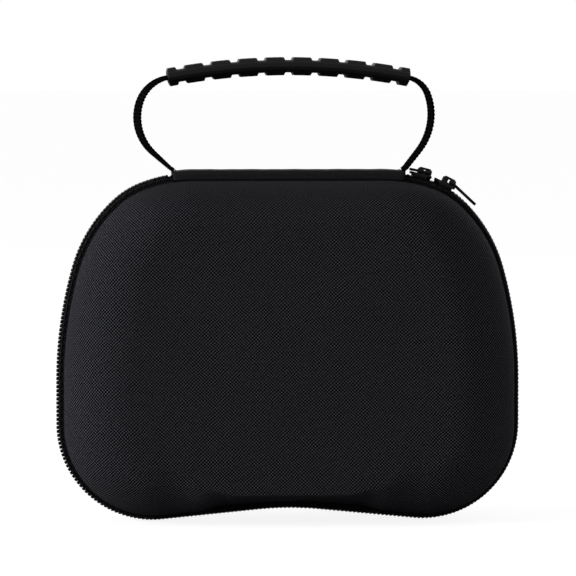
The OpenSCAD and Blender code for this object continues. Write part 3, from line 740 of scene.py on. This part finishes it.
def leg_points(i):
    """Middle line of a leg, on the right-hand side, from its foot up to the grip's end."""
    fx, fz, _ = rim(STRIP_END, STRIP_OUT + WEB_T / 2 + 0.1)
    top = 180 - math.degrees(grip_half)
    ex, ez = GRIP_R * math.sin(grip_half), grip_centre + GRIP_R * math.cos(grip_half)
    d = (math.cos(math.radians(LEG_LEAVE[i])), math.sin(math.radians(LEG_LEAVE[i])))
    t = turn(LEG_LEAVE[i], LEG_MID)
    bend = turn(LEG_MID, top)
    wx, wz = ex - fx - LEG_BEND[i] * bend[0], ez - fz - LEG_BEND[i] * bend[1]
    det = d[0] * t[1] - d[1] * t[0]
    run, radius = (wx * t[1] - wz * t[0]) / det, (d[0] * wz - d[1] * wx) / det
    points = [(fx - d[0] * 1.2, fz - d[1] * 0.4)]
    points += [(fx + d[0] * run * k / 8, fz + d[1] * run * k / 8) for k in range(8)]
    bx, bz = fx + d[0] * run, fz + d[1] * run
    for k in range(17):
        a = turn(LEG_LEAVE[i], LEG_LEAVE[i] + (LEG_MID - LEG_LEAVE[i]) * k / 16)
        points.append((bx + radius * a[0], bz + radius * a[1]))
    bx, bz = points[-1]
    for k in range(1, 11):
        a = turn(LEG_MID, LEG_MID + (top - LEG_MID) * k / 10)
        points.append((bx + LEG_BEND[i] * a[0], bz + LEG_BEND[i] * a[1]))
    return points


def web_line():
    """The whole webbing's middle line from the left foot to the right one, evenly spaced."""
    left = [(-x, z) for x, z in leg_points(0)]
    arc_points = [(GRIP_R * math.sin(a), grip_centre + GRIP_R * math.cos(a))
                  for a in (grip_half * (k / 12 - 1) for k in range(1, 24))]
    rough = left + arc_points + leg_points(1)[::-1]
    lengths = [0.0]
    for a, b in zip(rough, rough[1:]):
        lengths.append(lengths[-1] + math.dist(a, b))
    step = WEB_PICK / 4
    count = int(lengths[-1] / step)
    line, k = [], 0
    for i in range(count + 1):
        want = lengths[-1] * i / count
        while k < len(rough) - 2 and lengths[k + 1] < want:
            k += 1
        t = (want - lengths[k]) / (lengths[k + 1] - lengths[k])
        line.append((rough[k][0] + (rough[k + 1][0] - rough[k][0]) * t,
                     rough[k][1] + (rough[k + 1][1] - rough[k][1]) * t))
    for _ in range(3):
        line = [line[0]] + [tuple((a[c] + 2 * b[c] + d[c]) / 4 for c in (0, 1))
                            for a, b, d in zip(line, line[1:], line[2:])] + [line[-1]]
    return line, lengths[-1]


def build_webbing():
    """The webbing as a closed flat tube whose faces carry the weave's ribs."""
    line, total = web_line()
    across = [i / 14 * 2 - 1 for i in range(15)]
    verts, cloth, faces = [], [], []
    for k, (x, z) in enumerate(line):
        ax, az = line[max(k - 1, 0)]
        bx, bz = line[min(k + 1, len(line) - 1)]
        size = math.hypot(bx - ax, bz - az)
        nx, nz = -(bz - az) / size, (bx - ax) / size
        s = k * total / (len(line) - 1)
        notch = 0.22 * math.sin(2 * math.pi * s / WEB_PICK)
        right = s > total / 2
        leg = max(0.0, 1 - (total - s if right else s) / 50)
        twist = TWIST[right] * math.sin(math.pi * leg)
        for face in (1, -1):
            for i in across if face > 0 else across[::-1]:
                phase = 0.5 if round((i + 1) * 7) % 4 in (1, 2) else 0.0
                rib = 0.15 * math.sin(2 * math.pi * (s / WEB_PICK + phase))
                edge = min(1.0, (1 - abs(i)) * 6)
                off = face * (WEB_T / 2 * (0.5 + 0.5 * edge) + rib * (0.4 + 0.6 * edge) - 0.12)
                y = i * (WEB_W / 2 - 0.15 + notch * (1 if abs(i) > 0.95 else 0))
                off += y * math.sin(twist)
                verts.append((x + nx * off, y * math.cos(twist), z + nz * off))
                cloth.append((s, i * WEB_W / 2 + (100 if face < 0 else 0)))
    count = 30
    for k in range(len(line) - 1):
        for i in range(count):
            j = (i + 1) % count
            faces.append((k * count + i, k * count + j, (k + 1) * count + j, (k + 1) * count + i))
    faces.append(tuple(range(count)))
    faces.append(tuple((len(line) - 1) * count + i for i in range(count))[::-1])
    obj = new_object("handle_strap", verts, faces)
    lay_cloth(obj, cloth)
    tidy_normals(obj)
    return obj


webbing = build_webbing()
webbing.data.materials.append(ribbed_cloth("black_polypropylene_webbing", "#020203", "#111113",
                                           WEB_PICK, 2.14, 0.3, 1.0, 0.0))
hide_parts("handle_webbing", "webbing_foot_left", "webbing_foot_right")
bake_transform(webbing)

# Grip: a sleeve of soft PVC moulded with ridges across its top and underside and plain rounded
# noses at its sides. The webbing was threaded through it. Satin, with a fine spark texture.
GRIP_W, GRIP_T = 18.0, 4.8
RIDGE_H, RIDGE_LEN, RIDGE_PITCH = 1.1, 7.0, 10.4
RIDGE_FLANK = 0.7
RIDGES = 8


def ridge_at(s):
    """How much of a ridge there is at distance s from the grip's middle."""
    first = (RIDGES - 1) / 2 * RIDGE_PITCH
    nearest = min(abs(s + first - i * RIDGE_PITCH) for i in range(-1, RIDGES + 1))
    ridge = smooth_step((RIDGE_LEN / 2 + RIDGE_FLANK / 2 - nearest) / RIDGE_FLANK)
    return ridge * smooth_step((GRIP_LEN / 2 - abs(s)) / 0.6)


def build_grip():
    """A flat rounded tube along the grip's arc, raised where there is a ridge."""
    stops = stops_between(-GRIP_LEN / 2, GRIP_LEN / 2, 0.3)
    sides = 44
    verts, faces = [], []
    for s in stops:
        a = s / GRIP_R
        closing = min(1.0, 0.72 + (GRIP_LEN / 2 - abs(s)) / 1.4)
        for j in range(sides):
            t = 2 * math.pi * j / sides
            c, v = math.cos(t), math.sin(t)
            y = GRIP_W / 2 * math.copysign(abs(c) ** 0.42, c) * (0.94 + 0.06 * closing)
            flat = abs(y) / (GRIP_W / 2)
            nose = math.sqrt(max(0.0, 1 - max(0.0, (flat - 0.72) / 0.28) ** 2))
            up = GRIP_T / 2 * nose * closing * math.copysign(min(1.0, abs(v) * 3), v)
            mask = smooth_step((0.86 - flat) / 0.09)
            up += math.copysign(RIDGE_H * ridge_at(s) * mask * min(1.0, abs(v) * 3), v)
            r = GRIP_R + up
            verts.append((r * math.sin(a), y, grip_centre + r * math.cos(a)))
    for k in range(len(stops) - 1):
        for i in range(sides):
            j = (i + 1) % sides
            faces.append((k * sides + i, k * sides + j, (k + 1) * sides + j, (k + 1) * sides + i))
    faces.append(tuple(range(sides)))
    faces.append(tuple((len(stops) - 1) * sides + i for i in range(sides))[::-1])
    obj = new_object("ribbed_grip", verts, faces)
    tidy_normals(obj)
    return obj


def soft_pvc():
    mat, tree, bsdf = new_material("black_soft_pvc", Roughness=0.42, IOR=1.52,
                                   Specular_IOR_Level=0.12)
    place = add(tree, "ShaderNodeTexCoord").outputs["Object"]
    grain = add(tree, "ShaderNodeTexNoise", {"Vector": place, "Scale": 2500.0, "Detail": 2.0})
    haze = add(tree, "ShaderNodeTexNoise", {"Vector": place, "Scale": 60.0, "Detail": 3.0})
    rough = add(tree, "ShaderNodeMapRange", {0: haze.outputs[0], 3: 0.36, 4: 0.52})
    ramp = add(tree, "ShaderNodeValToRGB", {0: haze.outputs[0]})
    ramp.color_ramp.elements[0].color = linear("#060607")
    ramp.color_ramp.elements[1].color = linear("#0d0d0f")
    tree.links.new(ramp.outputs[0], bsdf.inputs["Base Color"])
    tree.links.new(rough.outputs[0], bsdf.inputs["Roughness"])
    bump = add(tree, "ShaderNodeBump", {"Height": grain.outputs[0], "Strength": 0.25,
                                        "Distance": 0.0001})
    tree.links.new(bump.outputs[0], bsdf.inputs["Normal"])
    return mat


grip = build_grip()
grip.data.materials.append(soft_pvc())
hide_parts("handle_grip")
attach(grip, "handle")

# Sliders and pulls: zinc, die-cast and enamelled black, with softened edges and a gloss
# that varies in fine patches.


def enamelled_zinc():
    mat, tree, bsdf = new_material("black_enamelled_zinc", Metallic=0.0, Roughness=0.3,
                                   IOR=1.5, Specular_IOR_Level=0.12)
    place = add(tree, "ShaderNodeTexCoord").outputs["Object"]
    pits = add(tree, "ShaderNodeTexNoise", {"Vector": place, "Scale": 700.0, "Detail": 3.0})
    ramp = add(tree, "ShaderNodeValToRGB", {0: pits.outputs[0]})
    ramp.color_ramp.elements[0].color = linear("#030304")
    ramp.color_ramp.elements[1].color = linear("#0a0a0b")
    rough = add(tree, "ShaderNodeMapRange", {0: pits.outputs[0], 3: 0.24, 4: 0.42})
    tree.links.new(ramp.outputs[0], bsdf.inputs["Base Color"])
    tree.links.new(rough.outputs[0], bsdf.inputs["Roughness"])
    bump = add(tree, "ShaderNodeBump", {"Height": pits.outputs[0], "Strength": 0.15,
                                        "Distance": 0.0001})
    tree.links.new(bump.outputs[0], bsdf.inputs["Normal"])
    return mat


PIN_ALONG, PIN_UP = 2.5, 2.4
EYE_R = 1.05


def eyes(s):
    """The pull's two cast eyes, one on each side of the bridge, about its pin at distance s."""
    x, z, angle = rim(s)
    t = angle - math.pi / 2
    px = x + PIN_ALONG * math.cos(t) - PIN_UP * math.sin(t)
    pz = z + PIN_ALONG * math.sin(t) + PIN_UP * math.cos(t)
    verts, faces = [], []
    for side in (-1, 1):
        first = len(verts)
        for y, r in ((0.98, 0.0), (0.98, EYE_R - 0.2), (1.18, EYE_R), (1.78, EYE_R), (1.98, EYE_R - 0.2),
                     (1.98, 0.0)):
            for k in range(20):
                a = 2 * math.pi * k / 20
                verts.append((px + r * math.cos(a), side * y, pz + r * math.sin(a)))
        for row in range(5):
            for k in range(20):
                m = (k + 1) % 20
                a, b = first + row * 20, first + (row + 1) * 20
                faces.append((a + k, a + m, b + m, b + k))
    return verts, faces


def softened(node, name, bevel_mm, eyes_at=None):
    """A copy of a cast piece with its edges rounded, as casting and enamel leave them."""
    source = frame["nodes"][node]
    obj = bpy.data.objects.new(name, source.data.copy())
    obj.data.materials.clear()
    bpy.context.scene.collection.objects.link(obj)
    shape = bmesh.new()
    shape.from_mesh(obj.data)
    bmesh.ops.remove_doubles(shape, verts=shape.verts, dist=0.000002)
    bmesh.ops.dissolve_limit(shape, angle_limit=math.radians(3), verts=shape.verts, edges=shape.edges)
    sharp = [e for e in shape.edges if len(e.link_faces) == 2 and e.calc_face_angle(0) > math.radians(35)]
    bmesh.ops.bevel(shape, geom=sharp, offset=bevel_mm * MM, segments=2, profile=0.6,
                    affect="EDGES", clamp_overlap=True)
    if eyes_at:
        verts, faces = eyes(eyes_at)
        new = [shape.verts.new((x * MM, y * MM, z * MM)) for x, y, z in verts]
        for face in faces:
            shape.faces.new([new[i] for i in face])
        bmesh.ops.remove_doubles(shape, verts=new, dist=0.000002)
    shape.to_mesh(obj.data)
    shape.free()
    obj.data.polygons.foreach_set("use_smooth", [True] * len(obj.data.polygons))
    return obj


ZINC = enamelled_zinc()
for node, body, bevel, at in (("slider_a_body", "base", 0.2, None),
                              ("slider_b_body", "slider_b", 0.2, None),
                              ("slider_a_pull", "base", 0.18, STRIP_END + 6.5),
                              ("slider_b_pull", "pull_b", 0.18, STRIP_END + 16.2)):
    piece = softened(node, node + "_cast", bevel, at)
    piece.data.materials.append(ZINC)
    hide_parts(node)
    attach(piece, body)

# Net pocket: warp-knitted polyester net across the lower half of the lid, with an elastic
# binding along its mouth.
NET_CELL = 3.0
NET_Y, POCKET_TOP = 13.3, 72.0
NET_INSET = INNER_EDGE + 0.1 + BINDING_T + 0.2


def inside_net(x, z):
    """True where a point lies inside the case's inner outline, below the pocket's mouth."""
    if z > POCKET_TOP or z < 17:
        return False
    return abs(x) < net_reach(z)


def net_reach(z):
    """Half width of the inner outline at height z."""
    side = [rim(s, -NET_INSET) for s in stops_between(120, RIM_HALF, 2.0)]
    wide = [p for p in side if p[0] > 40]
    best = min(wide, key=lambda p: abs(p[1] - z))
    return best[0]


def build_net():
    """A sheet of six-sided cells whose edges are thin flat yarns."""
    shape = bmesh.new()
    size = NET_CELL / math.sqrt(3)
    reach = {}
    cells = {}

    def corner(x, z):
        key = (round(x, 3), round(z, 3))
        if key not in cells:
            cells[key] = shape.verts.new((x * MM, -NET_Y * MM, z * MM))
        return cells[key]

    row = 0
    z = 18.0
    while z < POCKET_TOP - 1:
        key = round(z)
        if key not in reach:
            reach[key] = net_reach(z) - NET_CELL * 0.6
        x = -90.0 + (NET_CELL / 2 if row % 2 else 0)
        while x < 90:
            if abs(x) < reach[key]:
                ring = [corner(x + size * math.sin(math.radians(60 * k)),
                               z + size * math.cos(math.radians(60 * k))) for k in range(6)]
                shape.faces.new(ring)
            x += NET_CELL
        z += 1.5 * size
        row += 1
    mesh = bpy.data.meshes.new("lid_net")
    shape.to_mesh(mesh)
    shape.free()
    obj = bpy.data.objects.new("lid_net", mesh)
    bpy.context.scene.collection.objects.link(obj)
    wire = obj.modifiers.new("yarns", "WIREFRAME")
    wire.thickness = 0.55 * MM
    wire.use_replace = True
    return obj


def knit():
    mat, tree, bsdf = new_material("black_knitted_net", Roughness=0.7, Sheen_Weight=0.2)
    place = add(tree, "ShaderNodeTexCoord").outputs["Object"]
    loops = add(tree, "ShaderNodeTexNoise", {"Vector": place, "Scale": 1400.0, "Detail": 2.0})
    ramp = add(tree, "ShaderNodeValToRGB", {0: loops.outputs[0]})
    ramp.color_ramp.elements[0].color = linear("#101012")
    ramp.color_ramp.elements[1].color = linear("#2b2b2f")
    tree.links.new(ramp.outputs[0], bsdf.inputs["Base Color"])
    return mat


net = build_net()
net.data.materials.append(knit())
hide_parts("net_pocket")
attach(net, "lid")
ELASTIC = ribbed_cloth("black_ribbed_elastic", "#0a0a0c", "#262629", 1.6, 0.8, 0.3, 0.75)


def band(name, rows):
    """A flat band of cloth from rows of points, each row a closed loop of the same length."""
    count = len(rows[0])
    verts = [p for row in rows for p in row]
    faces = [(k * count + i, k * count + (i + 1) % count, (k + 1) * count + (i + 1) % count,
              (k + 1) * count + i) for k in range(len(rows) - 1) for i in range(count)]
    faces.append(tuple(range(count)))
    faces.append(tuple((len(rows) - 1) * count + i for i in range(count))[::-1])
    obj = new_object(name, verts, faces)
    lay_cloth(obj, [(p[0], p[2]) for p in verts])
    tidy_normals(obj)
    return obj


HEM = 10.0
mouth = []
for k in range(81):
    x = (k / 40 - 1) * (net_reach(POCKET_TOP - HEM / 2) - 0.3)
    y = -NET_Y + 0.25 * math.sin(k * 0.9)
    mouth.append([(x, y - 0.95, POCKET_TOP - HEM), (x, y - 0.95, POCKET_TOP - 0.4),
                  (x, y, POCKET_TOP + 0.3), (x, y + 0.6, POCKET_TOP - 0.4),
                  (x, y + 0.6, POCKET_TOP - HEM), (x, y - 0.2, POCKET_TOP - HEM - 0.2)])
hem = band("pocket_elastic", mouth)
hem.data.materials.append(ELASTIC)
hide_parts("pocket_binding")
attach(hem, "lid")

# Retaining strap: flat ribbed elastic across the base, sewn down at both ends.
KEEPER_Z, KEEPER_W, KEEPER_LEN = 72.0, 20.0, 116.0
KEEPER_T, KEEPER_LIFT = 1.2, 2.0
floor_y = SHELL_DEPTH - SHELL_T - 0.1
rows = []
for k in range(65):
    t = k / 32 - 1
    x = t * KEEPER_LEN / 2
    bow = max(0.0, 1 - (abs(x) / (KEEPER_LEN / 2 - 12)) ** 2) * KEEPER_LIFT
    y = floor_y - bow
    low, high = KEEPER_Z - KEEPER_W / 2, KEEPER_Z + KEEPER_W / 2
    rows.append([(x, y, low), (x, y - KEEPER_T, low + 0.1), (x, y - KEEPER_T - 0.1, KEEPER_Z),
                 (x, y - KEEPER_T, high - 0.1), (x, y, high), (x, y - 0.05, KEEPER_Z)])
keeper = band("keeper_elastic", rows)
keeper.data.materials.append(ELASTIC)
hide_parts("retaining_strap")
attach(keeper, "base")

# Studio: a pale floor, a white surround that the lens sees plain, a large soft lamp on the left,
# a weak one low on the right and one behind. The camera stands a little left of the case and above it.
AIM = Vector((0.0, 0.0, 0.0900))
AZIMUTH, ELEVATION = math.radians(-3.5), math.radians(3)
LENS, SENSOR = 300.0, 36.0
FRAME_PIXELS, MM_PER_PIXEL = 576, 0.388
FLOOR_WHITE = 0.6


def floor():
    mesh = bpy.data.meshes.new("floor")
    mesh.from_pydata([(-15, -15, 0), (15, -15, 0), (15, 15, 0), (-15, 15, 0)], [], [(0, 1, 2, 3)])
    obj = bpy.data.objects.new("floor", mesh)
    bpy.context.scene.collection.objects.link(obj)
    mat, tree, bsdf = new_material("pale_studio_floor", Roughness=0.9, Specular_IOR_Level=0.0)
    path = add(tree, "ShaderNodeLightPath")
    # The lens sees the floor pale; its bounce on the case is kept low, as on a lit-through table.
    tone = add(tree, "ShaderNodeMix", {"Factor": path.outputs["Is Camera Ray"]}, data_type="RGBA")
    tone.inputs[6].default_value = linear("#b4b4b4")
    tone.inputs[7].default_value = linear("#f4f4f4")
    tree.links.new(tone.outputs[2], bsdf.inputs["Base Color"])
    white = add(tree, "ShaderNodeEmission", {"Color": linear("#ffffff"), "Strength": 1.46})
    share = math_node(tree, "MULTIPLY", path.outputs["Is Camera Ray"], FLOOR_WHITE)
    mix = add(tree, "ShaderNodeMixShader", {0: share, 1: bsdf.outputs[0], 2: white.outputs[0]})
    tree.links.new(mix.outputs[0], tree.nodes["Material Output"].inputs["Surface"])
    obj.data.materials.append(mat)


def world():
    scene_world = bpy.data.worlds.new("surround")
    bpy.context.scene.world = scene_world
    scene_world.use_nodes = True
    tree = scene_world.node_tree
    tree.nodes.clear()
    path = add(tree, "ShaderNodeLightPath")
    seen = math_node(tree, "MAXIMUM", path.outputs["Is Camera Ray"], math_node(
        tree, "MAXIMUM", path.outputs["Is Glossy Ray"], path.outputs["Is Transmission Ray"]))
    up = add(tree, "ShaderNodeSeparateXYZ", {0: add(tree, "ShaderNodeTexCoord").outputs["Generated"]})
    dim = add(tree, "ShaderNodeMapRange", {0: up.outputs[2], 1: 0.0, 2: 1.0, 3: 0.6, 4: 0.15})
    ambient = add(tree, "ShaderNodeBackground", {"Color": linear("#ffffff"), "Strength": dim.outputs[0]})
    plain = add(tree, "ShaderNodeBackground", {"Color": linear("#ffffff"), "Strength": 1.0})
    mix = add(tree, "ShaderNodeMixShader", {0: seen, 1: ambient.outputs[0], 2: plain.outputs[0]})
    add(tree, "ShaderNodeOutputWorld", {"Surface": mix.outputs[0]})


def lamp(name, place, size, power):
    data = bpy.data.lights.new(name, "AREA")
    data.size = size
    data.energy = power
    obj = bpy.data.objects.new(name, data)
    obj.location = place
    obj.rotation_euler = (AIM - Vector(place)).to_track_quat("-Z", "Y").to_euler()
    bpy.context.scene.collection.objects.link(obj)


def camera():
    data = bpy.data.cameras.new("camera")
    data.lens = LENS
    data.sensor_width = SENSOR
    distance = FRAME_PIXELS * MM_PER_PIXEL * MM * LENS / SENSOR
    out = Vector((math.sin(AZIMUTH) * math.cos(ELEVATION), -math.cos(AZIMUTH) * math.cos(ELEVATION),
                  math.sin(ELEVATION)))
    obj = bpy.data.objects.new("camera", data)
    obj.location = AIM + out * distance
    obj.rotation_euler = (-out).to_track_quat("-Z", "Y").to_euler()
    bpy.context.scene.collection.objects.link(obj)
    bpy.context.scene.camera = obj


floor()
world()
lamp("key", (-1.7, -0.44, 0.4), 0.9, 30.0)
lamp("fill", (0.8, -1.5, 0.1), 0.9, 2.2)
lamp("back", (0.9, 1.5, 0.8), 0.9, 5.0)
camera()
bpy.context.scene.view_settings.view_transform = "Standard"
